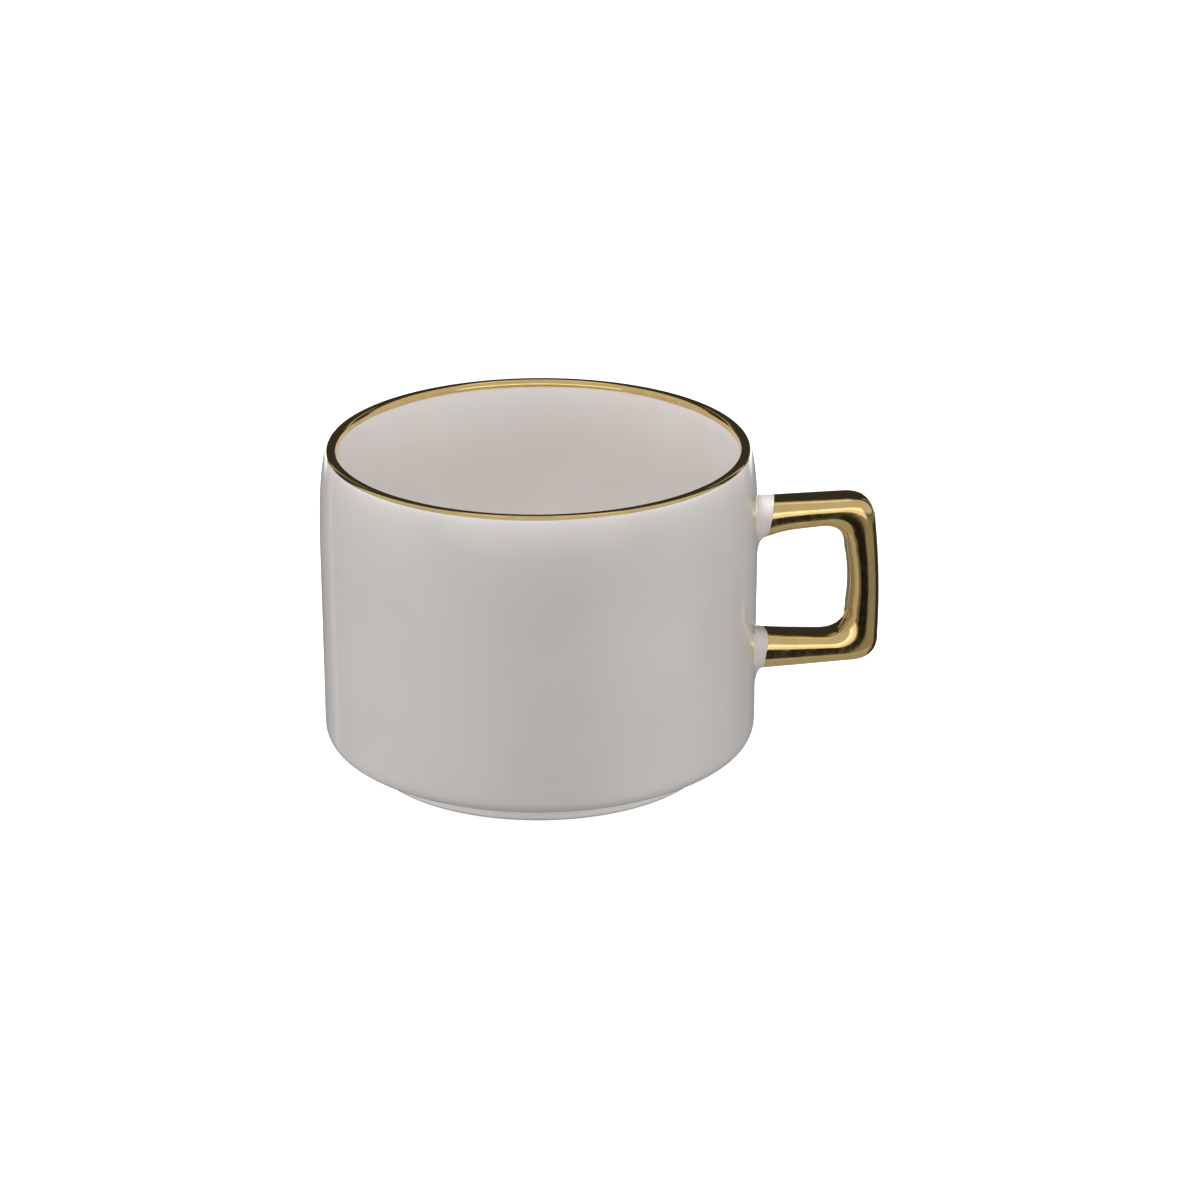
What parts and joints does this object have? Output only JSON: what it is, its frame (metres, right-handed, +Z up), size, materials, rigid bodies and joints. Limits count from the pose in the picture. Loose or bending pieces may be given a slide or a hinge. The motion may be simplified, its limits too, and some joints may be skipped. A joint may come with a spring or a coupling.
{
  "type": "teacup",
  "caption": "Low straight-sided porcelain teacup with a gold-lined lip, rounded heel, recessed foot ring and a squared gold loop handle for one finger.",
  "frame": {"origin": "on the table, under the middle of the cup and handle taken together; the cup's own axis stands 12.54 mm from it towards -X", "axes": "+X out along the handle, +Z up out of the cup, and the handle's middle plane is y = 0"},
  "size_m": [0.108, 0.083, 0.0628],
  "materials": {
    "glazed_porcelain": "gloss",
    "bare_porcelain": "matte",
    "bright_gold": "polished"
  },
  "bodies": {
    "root": {"cup_body": "glazed_porcelain", "foot_ring": "bare_porcelain", "rim_gold_band": "bright_gold", "handle_casting": "glazed_porcelain", "handle_gold_coat": "bright_gold", "upper_slip_joint": "glazed_porcelain", "lower_slip_joint": "glazed_porcelain"}
  },
  "joints": []
}
